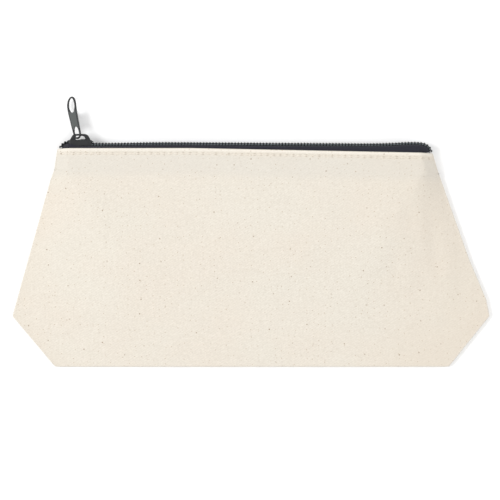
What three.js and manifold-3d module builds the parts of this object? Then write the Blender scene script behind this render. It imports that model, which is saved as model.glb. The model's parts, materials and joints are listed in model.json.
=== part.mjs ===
// A canvas pencil case lying flat on its back, zip closed.
// Units are millimetres. +X runs along the zip from the slider's end, +Y points from the
// base fold towards the zip, and +Z points up, away from the table.
// The origin is on the back panel's outer face, which is the face that rests on the table.

import * as THREE from 'three';
import { mergeVertices } from 'three/addons/utils/BufferGeometryUtils.js';
import Module from 'manifold-3d';

const wasm = await Module();
wasm.setup();

// ---------------------------------------------------------------- driving dimensions

// Outline, seen from above.
const BASE_Y = -55.3;            // the base fold
const BASE_LEFT_X = -99.0;
const BASE_RIGHT_X = 100.0;
const WIDEST_X = 120.7;          // half of the 241 mm overall width
const WIDEST_Y = -29.5;          // where the folded corners meet the sides
const HEM_LEFT = [-98.0, 55.1];
const HEM_RIGHT = [91.9, 52.7];
const HEM_BEND_X = -30.0;        // the hem is level up to here, then falls to the right
const HEM_KINK_Y = 44.2;         // bottom of the stiff hem, where the sides start to flare

// Cloth and the stack of plies at the edges.
const CLOTH = 0.5;
const BACK_FLAP_Z = 0.7;         // underside of the plies folded in from the back panel
const SEAM_Z = 1.4;              // underside of the seam threads between the two panels
const FRONT_FLAP_Z = 1.8;        // underside of the plies folded in from the front panel
const FRONT_EDGE_Z = 2.5;        // underside of the front panel at its edges
const FRONT_TOP_Z = 12.0;        // top of the front panel over the hollow
const FOLD_WIDTH = 0.6;          // width of the fold that joins two plies
const SEAM_ALLOWANCE = 6.5;
const HEM_DEPTH = 12.0;          // depth of cloth turned in at the hem
const HEM_GAP = 0.2;             // air between the front panel and the cloth turned in under it
const HEM_TRIM = 0.1;            // keeps the turned-in cloth inside the fold at its right end
const GUSSET_DEPTH = 23.0;       // half of the 46 mm base, folded up inside
const BASE_RAW_EDGE_Y = BASE_Y + GUSSET_DEPTH + SEAM_ALLOWANCE + 0.8;
const SHOULDER_AT_HEM = 5.0;     // width of the front panel's slope beside the zip
const SHOULDER_GROWTH = 0.4;     // how much wider that slope gets per mm below the hem
const BASE_SLOPE = 34.0;         // length of the slope above the base fold
const BEYOND = 1.0;              // how far a cutting piece reaches past what it cuts

// Zip chain: a nylon coil on woven tape, standing on edge along the top.
const ZIP_Z = 6.1;               // centre of the chain
const COIL_PITCH = 1.59;         // 16 coil turns to the inch
const COIL_INNER = 0.7;          // tooth tips, from the chain's centre
const COIL_OUTER = 2.8;
const COIL_BOTTOM_Y = 56.2;
const COIL_TOP_Y = 58.0;
const COIL_TOOTH = 0.8;          // width of one tooth along the chain
const TOOTH_DEPTH = 0.6;         // from the teeth's tips to the spine of the comb
const TOOTH_CHAMFER = 0.1;
const FRONT_PHASE = 0.25;        // where the first tooth starts, in pitches: the halves alternate
const BACK_PHASE = 0.6;
const COIL_LEFT_X = -96.4;
const COIL_STRAIGHT_END_X = 82.6;
const COIL_END_DROP = 2.4;       // how far the right end bends down to the corner
const COIL_END_RUN = 6.6;
const BEND_LAP = 0.3;            // how far the bent end runs into the straight
const CORD = 0.5;
const CORD_SLOT = 1.1;
const CORD_LEFT_GAP = 0.4;       // from the coil's ends to the cord's
const CORD_RIGHT_GAP = 1.6;
const BINDING = 0.16;            // thread that binds the coil to its tape
const BINDING_GAP = 0.06;
const BINDING_LOW = 0.35;        // its edges, above the coil's underside
const BINDING_HIGH = 0.95;
const TAPE = 0.4;
const TAPE_TOP_Y = 55.9;
const TAPE_REACH = 4.4;          // outer face of the tape, from the chain's centre
const TAPE_INNER = 0.9;
const TAPE_DEPTH = 12.4;         // how far the tape runs down inside the hem
const TAPE_LEFT_X = -91.9;
const TAPE_RIGHT_X = 85.0;
const TAPE_SHOULDER = 1.0;       // how far the tape's right end slopes down

// Stitching.
const THREAD = 0.4;
const THREAD_HEIGHT = 0.2;
const TOPSTITCH_INSET = 2.7;     // from the folded edge of the hem
const SEAM_INSET = 1.5;          // side seams, from the sides
const TOPSTITCH_LEFT_X = -91.5;
const TOPSTITCH_RIGHT_X = 85.5;
const GROOVE = 1.0;              // width of the groove that the back topstitches sink into
const GROOVE_PLY = 0.15;         // cloth left above that groove

// Slider, at rest at the left end: a hollow casting, wide at its mouth and narrow at its tail.
const SLIDER_LEFT_X = -92.6;
const SLIDER_RIGHT_X = -79.2;
const WAIST_X = -85.5;           // where the mouth has narrowed to the tail
const MOUTH_HALF_WIDTH = 3.9;
const TAIL_HALF_WIDTH = 3.5;
const SLIDER_CORNER = 1.4;
const FLANGE = 0.4;
const FLANGE_BOTTOM_Y = 56.3;
const TOP_PLATE_BOTTOM_Y = 58.3;
const TOP_PLATE_Y = 59.35;
const BOTTOM_PLATE_Y = 54.2;
const BOTTOM_PLATE_TOP_Y = 55.2;
const BOTTOM_PLATE_INSET = 0.4;  // narrower than the top plate all round
const NECK_LEFT_X = -91.4;
const NECK_LENGTH = 3.5;
const NECK_HALF_WIDTH = 0.35;
const WELD = 0.2;                // how far joined pieces run into each other
const BRIDGE_HALF_WIDTH = 0.45;

// The top plate and flanges, the bridge, and the bridge's window, in X and Y, seen from the front.
const SHELL_PROFILE = [
  [SLIDER_LEFT_X, 56.8], [-92.1, FLANGE_BOTTOM_Y], [-79.8, FLANGE_BOTTOM_Y],
  [SLIDER_RIGHT_X, 56.9], [SLIDER_RIGHT_X, 58.0], [-79.8, 58.7], [-81.0, TOP_PLATE_Y],
  [-91.4, TOP_PLATE_Y], [-92.2, 59.0], [SLIDER_LEFT_X, 58.5],
];
const BRIDGE_PROFILE = [
  [-92.0, TOP_PLATE_Y - WELD - 0.4], [-80.4, TOP_PLATE_Y - WELD - 0.4],
  [-81.1, TOP_PLATE_Y + WELD], [-82.1, 61.4], [-82.7, 61.95], [-83.6, 62.3], [-85.0, 62.4],
  [-88.6, 62.4], [-89.5, 62.2], [-90.2, 61.6], [-90.7, 60.7], [-91.4, TOP_PLATE_Y + WELD],
];
const WINDOW_PROFILE = [
  [-88.5, 59.5], [-86.3, 59.5], [-85.9, 59.8], [-83.9, 59.8], [-83.65, 60.05],
  [-84.2, 61.0], [-84.8, 61.35], [-86.0, 61.5], [-88.2, 61.5], [-88.5, 61.2],
];

// Puller, hung through the bridge, with its tip dropped towards the table.
const PIVOT = new THREE.Vector3(-87.3, 60.4, ZIP_Z);
const PULLER_LEAN = THREE.MathUtils.degToRad(12.4);
const PULLER_DIP = THREE.MathUtils.degToRad(-5.5);
const PULLER_TWIST = THREE.MathUtils.degToRad(-45);
const PULLER_THICKNESS = 0.65;
const PULLER_WEB = 0.4;
const PULLER_FOOT = 0.42;        // from the pivot down to the foot of the tab
const PULLER_LENGTH = 21.4;      // from the pivot to the tip
const PULLER_WIDEST_AT = 16.8;
const PULLER_HALF_WIDTH = 3.2;
const PULLER_BASE_HALF_WIDTH = 2.5;
const SLOT_RIM = 0.62;
const SLOT_BOTTOM = 0.36;        // above the bar that passes under the bridge
const SLOT_TOP = 6.2;            // top of the arch that the bridge passes through
const SLOT_ROUND = 0.8;          // height of the slot's rounded foot
const HOLE_RIM = 0.75;
const HOLE_BOTTOM = 13.1;
const HOLE_TOP = 20.75;
const RECESS_LIP = 0.9;          // how far the recess reaches past the slot's point and the hole
const CURVE_FROM = 12.0;         // above this the tab curves back
const CURVE = -1.3;              // how far its tip stands from the tab's plane
const CURVE_KNOTS = [12.0, 14.3];
const QUARTER_STEPS = 9;         // straight edges in a quarter of a rounded end

// ---------------------------------------------------------------- materials

const canvas = { color: 0xefe8dc, roughness: 0.95, metalness: 0.0 };
const cottonThread = { color: 0xe6dccb, roughness: 0.85, metalness: 0.0 };
const tapeCloth = { color: 0x2b2b33, roughness: 0.85, metalness: 0.0 };
const nylon = { color: 0x232329, roughness: 0.4, metalness: 0.0 };
const tapeThread = { color: 0x55555e, roughness: 0.7, metalness: 0.0 };
const cordYarn = { color: 0x2a2a30, roughness: 0.9, metalness: 0.0 };
const blackEnamel = { color: 0x2c2e32, roughness: 0.35, metalness: 0.6 };

// ---------------------------------------------------------------- geometry helpers

// Positions only, with shared corners merged, so that the surface is one closed mesh.
function closed(geometry) {
  geometry.deleteAttribute('normal');
  geometry.deleteAttribute('uv');
  return mergeVertices(geometry, 1e-5);
}

function toSolid(geometry) {
  const merged = closed(geometry);
  const mesh = new wasm.Mesh({
    numProp: 3,
    vertProperties: new Float32Array(merged.attributes.position.array),
    triVerts: new Uint32Array(merged.index.array),
  });
  return new wasm.Manifold(mesh);
}

function toGeometry(solid) {
  const mesh = solid.getMesh();
  const geometry = new THREE.BufferGeometry();
  geometry.setAttribute('position', new THREE.BufferAttribute(mesh.vertProperties, 3));
  geometry.setIndex(new THREE.BufferAttribute(mesh.triVerts, 1));
  return geometry;
}

function join(...geometries) {
  return toGeometry(geometries.map(toSolid).reduce((sum, solid) => sum.add(solid)));
}

function overlap(first, second) {
  return toGeometry(toSolid(first).intersect(toSolid(second)));
}

function cut(geometry, ...tools) {
  const start = toSolid(geometry);
  return toGeometry(tools.map(toSolid).reduce((rest, tool) => rest.subtract(tool), start));
}

function shapeOf(points, holes = []) {
  const shape = new THREE.Shape(points.map(([x, y]) => new THREE.Vector2(x, y)));
  for (const hole of holes) {
    shape.holes.push(new THREE.Path(hole.map(([x, y]) => new THREE.Vector2(x, y))));
  }
  return shape;
}

// A flat piece with the given plan in X and Y, from z up by height.
function slab(points, z, height, holes = []) {
  const options = { depth: height, bevelEnabled: false };
  return new THREE.ExtrudeGeometry(shapeOf(points, holes), options).translate(0, 0, z);
}

// A bar with its section drawn in Y and Z, from x by length along +X.
function barAlongX(section, x, length) {
  const options = { depth: length, bevelEnabled: false };
  const geometry = new THREE.ExtrudeGeometry(shapeOf(section), options);
  const turn = new THREE.Matrix4().makeBasis(
    new THREE.Vector3(0, 1, 0),
    new THREE.Vector3(0, 0, 1),
    new THREE.Vector3(1, 0, 0),
  );
  return geometry.applyMatrix4(turn).translate(x, 0, 0);
}

// A piece with its plan drawn in X and Z, from y by height along +Y.
function plateFacingY(plan, y, height) {
  const options = { depth: height, bevelEnabled: false };
  const flipped = plan.map(([x, z]) => [x, -z]);
  const geometry = new THREE.ExtrudeGeometry(shapeOf(flipped), options);
  return geometry.rotateX(-Math.PI / 2).translate(0, y, 0);
}

function boxBetween(low, high) {
  const size = high.map((value, axis) => value - low[axis]);
  const centre = high.map((value, axis) => (value + low[axis]) / 2);
  return new THREE.BoxGeometry(...size).translate(...centre);
}

// Moves every side of a polygon inwards by distance; the polygon runs anticlockwise.
function inset(points, distance) {
  return points.map((point, i) => {
    const before = points[(i + points.length - 1) % points.length];
    const after = points[(i + 1) % points.length];
    const into = new THREE.Vector2(point[0] - before[0], point[1] - before[1]).normalize();
    const out = new THREE.Vector2(after[0] - point[0], after[1] - point[1]).normalize();
    const normal = new THREE.Vector2(-into.y - out.y, into.x + out.x).normalize();
    const reach = distance / (-into.y * normal.x + into.x * normal.y);
    return [point[0] + normal.x * reach, point[1] + normal.y * reach];
  });
}

// A flat ribbon of the given width along a row of points in X and Y.
function ribbon(points, width, z, height) {
  const sides = [[], []];
  points.forEach((point, i) => {
    const before = points[Math.max(i - 1, 0)];
    const after = points[Math.min(i + 1, points.length - 1)];
    const run = new THREE.Vector2(after[0] - before[0], after[1] - before[1]).normalize();
    const across = [run.y * width / 2, -run.x * width / 2];
    sides[0].push([point[0] + across[0], point[1] + across[1]]);
    sides[1].unshift([point[0] - across[0], point[1] - across[1]]);
  });
  return slab([...sides[0], ...sides[1]], z, height);
}

// Linear interpolation through a row of [position, value] knots.
function along(knots, position) {
  for (let i = 1; i < knots.length; i += 1) {
    if (position <= knots[i][0]) {
      const span = knots[i][0] - knots[i - 1][0];
      const share = (position - knots[i - 1][0]) / span;
      return knots[i - 1][1] + share * (knots[i][1] - knots[i - 1][1]);
    }
  }
  return knots[knots.length - 1][1];
}

// ---------------------------------------------------------------- outline of the pouch

const LEFT_SIDE = [
  [BASE_Y, BASE_LEFT_X], [WIDEST_Y, -WIDEST_X], [39.1, -101.5], [HEM_KINK_Y, -99.5],
  [HEM_LEFT[1], HEM_LEFT[0]],
];
const RIGHT_SIDE = [
  [BASE_Y, BASE_RIGHT_X], [WIDEST_Y, WIDEST_X], [-21.5, 119.2], [-1.3, 110.6],
  [HEM_KINK_Y, 94.4], [HEM_RIGHT[1], HEM_RIGHT[0]],
];
const leftAt = (y) => along(LEFT_SIDE, y);
const rightAt = (y) => along(RIGHT_SIDE, y);
const hemAt = (x) => along([[HEM_BEND_X, HEM_LEFT[1]], [HEM_RIGHT[0], HEM_RIGHT[1]]],
  Math.max(x, HEM_BEND_X));

const outline = [
  ...RIGHT_SIDE.map(([y, x]) => [x, y]),
  [HEM_BEND_X, HEM_LEFT[1]],
  ...LEFT_SIDE.map(([y, x]) => [x, y]).reverse(),
];

// Raw edges of the plies folded in at the sides and the base.
const insideEdges = [
  [rightAt(BASE_RAW_EDGE_Y) - SEAM_ALLOWANCE - 0.5, BASE_RAW_EDGE_Y],
  [HEM_RIGHT[0] - SEAM_ALLOWANCE, HEM_RIGHT[1] - HEM_DEPTH],
  [HEM_BEND_X, HEM_LEFT[1] - HEM_DEPTH],
  [HEM_LEFT[0] + SEAM_ALLOWANCE - 1.0, HEM_LEFT[1] - HEM_DEPTH],
  [leftAt(BASE_RAW_EDGE_Y) + SEAM_ALLOWANCE + 0.5, BASE_RAW_EDGE_Y],
];

// ---------------------------------------------------------------- cloth panels

// The plies folded in all round, and the folds that join them to the outer ply.
function foldedEdges(flapZ, foldZ, foldHeight) {
  return [
    slab(outline, flapZ, CLOTH, [insideEdges]),
    slab(outline, foldZ, foldHeight, [inset(outline, FOLD_WIDTH)]),
  ];
}

function backPanelGeometry() {
  const folds = foldedEdges(BACK_FLAP_Z, 0, BACK_FLAP_Z + CLOTH);
  const panel = join(slab(outline, 0, CLOTH), ...folds);
  const groove = ribbon(topstitchLine(), GROOVE, -BEYOND, BEYOND + CLOTH - GROOVE_PLY);
  return cut(panel, groove);
}

// Width of the slope down to the side edges: narrow along the hem, wider towards the base.
const shoulderAt = (y) => SHOULDER_AT_HEM + SHOULDER_GROWTH * Math.max(HEM_KINK_Y - y, 0);

// Height of the front panel's outer face: level over the hollow, sloping to every edge.
function frontHeight(x, y) {
  const shoulder = shoulderAt(y);
  const fromSide = Math.min(x - leftAt(y), rightAt(y) - x) / shoulder;
  const fromBase = (y - BASE_Y) / BASE_SLOPE;
  const share = THREE.MathUtils.clamp(Math.min(fromSide, fromBase), 0, 1);
  return FRONT_EDGE_Z + CLOTH + share * (FRONT_TOP_Z - FRONT_EDGE_Z - CLOTH);
}

// The front panel's outer ply: a sheet whose grid lines follow its edges and slopes.
function frontSheet() {
  const rows = [BASE_Y, -44, -36, WIDEST_Y, BASE_Y + BASE_SLOPE, -1.3, 18, 36, HEM_KINK_Y, null];
  const columns = [0, 0.5, 1];
  const across = 2 * columns.length - 1;
  const sheet = new THREE.BoxGeometry(1, 1, 1, across, rows.length - 1, 1);
  const corner = sheet.attributes.position;
  for (let i = 0; i < corner.count; i += 1) {
    const column = Math.round((corner.getX(i) + 0.5) * across);
    const row = Math.round((corner.getY(i) + 0.5) * (rows.length - 1));
    const onLeft = column < columns.length;
    const step = columns[onLeft ? column : across - column];
    const sideY = rows[row] ?? (onLeft ? HEM_LEFT[1] : HEM_RIGHT[1]);
    const shoulder = shoulderAt(sideY);
    const x = onLeft ? leftAt(sideY) + step * shoulder : rightAt(sideY) - step * shoulder;
    const y = rows[row] ?? hemAt(x);
    const under = corner.getZ(i) < 0 ? CLOTH : 0;
    corner.setXYZ(i, x, y, frontHeight(x, sideY) - under);
  }
  return sheet;
}

function frontPanelGeometry() {
  const hemZ = FRONT_TOP_Z - 2 * CLOTH - HEM_GAP;
  const rightY = hemAt(TAPE_RIGHT_X) - HEM_TRIM;
  const hem = [
    [TAPE_LEFT_X, hemAt(TAPE_LEFT_X)], [TAPE_LEFT_X, HEM_LEFT[1] - HEM_DEPTH],
    [TAPE_RIGHT_X, HEM_RIGHT[1] - HEM_DEPTH], [TAPE_RIGHT_X, rightY],
    [HEM_BEND_X, HEM_LEFT[1]],
  ];
  const lip = [
    [TAPE_LEFT_X, hemAt(TAPE_LEFT_X) - FOLD_WIDTH],
    [HEM_BEND_X, HEM_LEFT[1] - FOLD_WIDTH],
    [TAPE_RIGHT_X, hemAt(TAPE_RIGHT_X) - FOLD_WIDTH],
    [TAPE_RIGHT_X, rightY],
    [HEM_BEND_X, HEM_LEFT[1]],
    [TAPE_LEFT_X, hemAt(TAPE_LEFT_X)],
  ];
  const mouth = boxBetween(
    [HEM_LEFT[0] + SEAM_ALLOWANCE - 1.0, HEM_LEFT[1] - HEM_DEPTH - 3, FRONT_FLAP_Z - BEYOND],
    [HEM_RIGHT[0] - SEAM_ALLOWANCE, HEM_LEFT[1] + BEYOND, FRONT_EDGE_Z + CLOTH + BEYOND],
  );
  const foldHeight = FRONT_EDGE_Z + CLOTH - FRONT_FLAP_Z;
  const edges = cut(join(...foldedEdges(FRONT_FLAP_Z, FRONT_FLAP_Z, foldHeight)), mouth);
  return join(
    frontSheet(),
    edges,
    slab(hem, hemZ, CLOTH),
    slab(lip, hemZ, FRONT_TOP_Z - hemZ),
  );
}

// ---------------------------------------------------------------- stitching

function topstitchLine() {
  return [
    [TOPSTITCH_LEFT_X, hemAt(TOPSTITCH_LEFT_X) - TOPSTITCH_INSET],
    [HEM_BEND_X, hemAt(HEM_BEND_X) - TOPSTITCH_INSET],
    [TOPSTITCH_RIGHT_X, hemAt(TOPSTITCH_RIGHT_X) - TOPSTITCH_INSET],
  ];
}

function seamThread(points) {
  return ribbon(points, THREAD, SEAM_Z, THREAD_HEIGHT);
}

// Side seams run down the turned-in edges and on to the ends of the folded base.
function sideSeamThread(sideAt, inwards) {
  const line = SEAM_INSET * inwards;
  const foot = inwards > 0 ? BASE_LEFT_X : BASE_RIGHT_X;
  return seamThread([
    [sideAt(HEM_RIGHT[1] - 1) + line, HEM_RIGHT[1] - 1],
    [sideAt(HEM_KINK_Y) + line, HEM_KINK_Y],
    [sideAt(WIDEST_Y + 1.5) + line, WIDEST_Y + 1.5],
    [foot - 2.5 * inwards, BASE_Y + GUSSET_DEPTH + 0.6],
  ]);
}

function cornerSeamThread(x) {
  return seamThread([[x, BASE_Y + 1.2], [x, BASE_Y + GUSSET_DEPTH - 1]]);
}

function baseSeamThread() {
  const y = BASE_Y + GUSSET_DEPTH;
  return seamThread([[BASE_LEFT_X + 1.5, y], [BASE_RIGHT_X - 1.5, y]]);
}

// ---------------------------------------------------------------- zip

// Height of the cord that runs inside one half of the coil.
const cordCentre = (side) => ZIP_Z + side * (COIL_INNER + TOOTH_DEPTH + COIL_OUTER) / 2;

// One half of the coil: a comb of teeth pointing at the chain's centre, grooved for its cord.
function coilGeometry(side) {
  const count = Math.floor((COIL_STRAIGHT_END_X - COIL_LEFT_X) / COIL_PITCH);
  const root = COIL_INNER + TOOTH_DEPTH;
  const phase = side > 0 ? FRONT_PHASE : BACK_PHASE;
  const comb = [[COIL_LEFT_X, COIL_OUTER], [COIL_LEFT_X, root]];
  for (let i = 0; i < count; i += 1) {
    const start = COIL_LEFT_X + (i + phase) * COIL_PITCH;
    const finish = start + COIL_TOOTH;
    comb.push([start, root], [start + TOOTH_CHAMFER, COIL_INNER]);
    comb.push([finish - TOOTH_CHAMFER, COIL_INNER], [finish, root]);
  }
  comb.push([COIL_STRAIGHT_END_X, root], [COIL_STRAIGHT_END_X, COIL_OUTER]);
  const plan = comb.map(([x, reach]) => [x, ZIP_Z + side * reach]);
  const teeth = plateFacingY(plan, COIL_BOTTOM_Y, COIL_TOP_Y - COIL_BOTTOM_Y);
  const end = endBend(COIL_BOTTOM_Y, COIL_TOP_Y, root, COIL_OUTER, side);
  const cordZ = cordCentre(side);
  const slot = boxBetween(
    [COIL_LEFT_X - BEYOND, COIL_BOTTOM_Y - BEYOND, cordZ - CORD_SLOT / 2],
    [COIL_STRAIGHT_END_X - BEYOND, COIL_BOTTOM_Y + CORD_SLOT, cordZ + CORD_SLOT / 2],
  );
  return cut(join(teeth, end), slot);
}

// The bent right end of the chain or tape: a curved bar between two heights.
function endBend(bottomY, topY, inner, outer, side) {
  const steps = 6;
  const top = [];
  const bottom = [];
  for (let i = 0; i <= steps; i += 1) {
    const share = i / steps;
    const x = COIL_STRAIGHT_END_X - BEND_LAP + share * COIL_END_RUN;
    const drop = COIL_END_DROP * share * share;
    top.push([x, topY - drop]);
    bottom.unshift([x, bottomY - drop]);
  }
  const low = Math.min(side * inner, side * outer);
  return slab([...bottom, ...top], ZIP_Z + low, Math.abs(outer - inner));
}

function cordGeometry(side) {
  const centre = cordCentre(side);
  const lowY = COIL_BOTTOM_Y + (CORD_SLOT - CORD) / 2;
  return boxBetween(
    [COIL_LEFT_X + CORD_LEFT_GAP, lowY, centre - CORD / 2],
    [COIL_STRAIGHT_END_X - CORD_RIGHT_GAP, lowY + CORD, centre + CORD / 2],
  );
}

// Thread that binds the coil to its tape, along the coil's outer flank.
function coilStitchingGeometry(side) {
  const near = COIL_OUTER + BINDING_GAP;
  const low = ZIP_Z + Math.min(side * near, side * (near + BINDING));
  return boxBetween(
    [COIL_LEFT_X + CORD_LEFT_GAP, COIL_BOTTOM_Y + BINDING_LOW, low],
    [COIL_STRAIGHT_END_X - CORD_LEFT_GAP, COIL_BOTTOM_Y + BINDING_HIGH, low + BINDING],
  );
}

// Woven tape: lies under the coil, turns the edge, and runs down inside the hem.
function tapeGeometry(side) {
  const reach = ZIP_Z + side * TAPE_REACH;
  const face = ZIP_Z + side * (TAPE_REACH - TAPE);
  const edge = ZIP_Z + side * TAPE_INNER;
  const bottomY = TAPE_TOP_Y - TAPE_DEPTH;
  const section = [
    [TAPE_TOP_Y, reach], [bottomY, reach], [bottomY, face], [TAPE_TOP_Y - TAPE, face],
    [TAPE_TOP_Y - TAPE, edge], [TAPE_TOP_Y, edge],
  ];
  const ordered = side > 0 ? section : section.slice().reverse();
  const length = COIL_STRAIGHT_END_X - TAPE_LEFT_X;
  const strip = barAlongX(ordered, TAPE_LEFT_X, length);
  const end = endBend(TAPE_TOP_Y - TAPE, TAPE_TOP_Y, TAPE_INNER, TAPE_REACH, side);
  const flap = [
    [COIL_STRAIGHT_END_X - BEND_LAP, bottomY],
    [TAPE_RIGHT_X, bottomY],
    [TAPE_RIGHT_X, TAPE_TOP_Y - TAPE_SHOULDER],
    [COIL_STRAIGHT_END_X - BEND_LAP, TAPE_TOP_Y - TAPE_SHOULDER / 10],
  ];
  const flapZ = Math.min(reach, face);
  return join(strip, end, slab(flap, flapZ, TAPE));
}

// ---------------------------------------------------------------- slider and puller

// A plan in X and Z, wide at the mouth and narrow at the tail, inset all round.
function sliderPlan(distance) {
  const left = SLIDER_LEFT_X + distance;
  const right = SLIDER_RIGHT_X - distance;
  const mouth = MOUTH_HALF_WIDTH - distance;
  const tail = TAIL_HALF_WIDTH - distance;
  const lower = [
    [left, SLIDER_CORNER - mouth], [left + SLIDER_CORNER, -mouth], [WAIST_X, -tail],
    [right - SLIDER_CORNER, -tail], [right, SLIDER_CORNER - tail],
  ];
  const upper = lower.map(([x, z]) => [x, -z]).reverse();
  return [...lower, ...upper].map(([x, z]) => [x, ZIP_Z + z]);
}

// The way through the slider for the coil, open at both ends.
function channelPlan() {
  const mouth = MOUTH_HALF_WIDTH - FLANGE;
  const tail = TAIL_HALF_WIDTH - FLANGE;
  const lower = [
    [SLIDER_LEFT_X - BEYOND, -mouth], [SLIDER_LEFT_X + SLIDER_CORNER, -mouth],
    [WAIST_X, -tail], [SLIDER_RIGHT_X + BEYOND, -tail],
  ];
  const upper = lower.map(([x, z]) => [x, -z]).reverse();
  return [...lower, ...upper].map(([x, z]) => [x, ZIP_Z + z]);
}

function sliderGeometry() {
  const block = slab(SHELL_PROFILE, ZIP_Z - MOUTH_HALF_WIDTH, 2 * MOUTH_HALF_WIDTH);
  const plan = plateFacingY(sliderPlan(0), BOTTOM_PLATE_Y, TOP_PLATE_Y - BOTTOM_PLATE_Y);
  const channelHeight = TOP_PLATE_BOTTOM_Y - BOTTOM_PLATE_Y;
  const channel = plateFacingY(channelPlan(), BOTTOM_PLATE_Y, channelHeight);
  const bottomHeight = BOTTOM_PLATE_TOP_Y - BOTTOM_PLATE_Y;
  const neck = boxBetween(
    [NECK_LEFT_X, BOTTOM_PLATE_TOP_Y - WELD, ZIP_Z - NECK_HALF_WIDTH],
    [NECK_LEFT_X + NECK_LENGTH, TOP_PLATE_BOTTOM_Y + WELD, ZIP_Z + NECK_HALF_WIDTH],
  );
  return join(
    cut(overlap(block, plan), channel),
    plateFacingY(sliderPlan(BOTTOM_PLATE_INSET), BOTTOM_PLATE_Y, bottomHeight),
    neck,
    slab(BRIDGE_PROFILE, ZIP_Z - BRIDGE_HALF_WIDTH, 2 * BRIDGE_HALF_WIDTH, [WINDOW_PROFILE]),
  );
}

// Half width of the puller's outline, or of a line inside its rim, at a height.
function pullerHalfWidth(height) {
  const slope = (PULLER_HALF_WIDTH - PULLER_BASE_HALF_WIDTH) / PULLER_WIDEST_AT;
  return PULLER_BASE_HALF_WIDTH + slope * Math.max(height, 0);
}

// Points on a quarter of an ellipse about [0, y], from angle zero up to a right angle.
function quarter(y, halfWidth, halfHeight) {
  return Array.from({ length: QUARTER_STEPS }, (_, i) => {
    const angle = (i / QUARTER_STEPS) * Math.PI / 2;
    return [halfWidth * Math.cos(angle), y + halfHeight * Math.sin(angle)];
  });
}

// A loop with both its ends on the tab's middle line, given its right half from foot to top.
function mirrored(foot, right, top) {
  const left = right.map(([x, y]) => [-x, y]).reverse();
  return [[0, foot], ...right, [0, top], ...left];
}

function pullerOutline() {
  const radius = PULLER_BASE_HALF_WIDTH;
  const base = quarter(radius - PULLER_FOOT, radius, -radius).reverse();
  const tip = quarter(PULLER_WIDEST_AT, PULLER_HALF_WIDTH, PULLER_LENGTH - PULLER_WIDEST_AT);
  const sides = CURVE_KNOTS.map((height) => [pullerHalfWidth(height), height]);
  return mirrored(-PULLER_FOOT, [...base, ...sides, ...tip], PULLER_LENGTH);
}

// The slot has a round foot and a pointed top.
function pullerSlot() {
  const half = PULLER_BASE_HALF_WIDTH - SLOT_RIM;
  const foot = quarter(SLOT_BOTTOM + SLOT_ROUND, half, -SLOT_ROUND).reverse();
  const point = [[half, SLOT_TOP - 2.4], [half * 0.8, SLOT_TOP - 1.5], [half * 0.45, SLOT_TOP - 0.6]];
  return mirrored(SLOT_BOTTOM, [...foot, ...point], SLOT_TOP);
}

function pullerHole() {
  const half = PULLER_HALF_WIDTH - HOLE_RIM;
  const lower = quarter(PULLER_WIDEST_AT, half, HOLE_BOTTOM - PULLER_WIDEST_AT).reverse();
  const upper = quarter(PULLER_WIDEST_AT, half, HOLE_TOP - PULLER_WIDEST_AT).slice(1);
  return mirrored(HOLE_BOTTOM, [...lower, ...upper], HOLE_TOP);
}

// Curves the tab's upper part back, away from its face.
function curved(geometry) {
  const corner = geometry.attributes.position;
  for (let i = 0; i < corner.count; i += 1) {
    const share = Math.max(corner.getY(i) - CURVE_FROM, 0) / (PULLER_LENGTH - CURVE_FROM);
    corner.setZ(i, corner.getZ(i) + CURVE * share * share);
  }
  return geometry;
}

// Drawn upright with the pivot at the origin and its face towards +Z.
function pullerGeometry() {
  const half = PULLER_THICKNESS / 2;
  const body = slab(pullerOutline(), -half, PULLER_THICKNESS);
  const slot = slab(pullerSlot(), -BEYOND, 2 * BEYOND);
  const hole = slab(pullerHole(), -BEYOND, 2 * BEYOND);
  const low = SLOT_TOP - 2 * RECESS_LIP;
  const high = HOLE_BOTTOM + RECESS_LIP;
  const panelLow = pullerHalfWidth(low) - SLOT_RIM;
  const panelHigh = pullerHalfWidth(high) - SLOT_RIM;
  const recess = [[-panelLow, low], [panelLow, low], [panelHigh, high], [-panelHigh, high]];
  const depth = (PULLER_THICKNESS - PULLER_WEB) / 2;
  return curved(cut(
    body,
    slot,
    hole,
    slab(recess, half - depth, BEYOND),
    slab(recess, -half + depth - BEYOND, BEYOND),
  ));
}

// The puller leans to the left, dips towards the table, and hangs twisted about its length.
function pullerTurn() {
  const turn = (x, y, z, angle) => {
    return new THREE.Quaternion().setFromAxisAngle(new THREE.Vector3(x, y, z), angle);
  };
  const lean = turn(0, 0, 1, PULLER_LEAN);
  const dip = turn(1, 0, 0, PULLER_DIP);
  const twist = turn(0, 1, 0, PULLER_TWIST);
  return lean.multiply(dip).multiply(twist);
}

// ---------------------------------------------------------------- assembly

const pencilCase = new THREE.Group();

function place(name, geometry, look) {
  const mesh = new THREE.Mesh(closed(geometry), new THREE.MeshStandardMaterial(look));
  mesh.name = name;
  pencilCase.add(mesh);
  return mesh;
}

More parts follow.
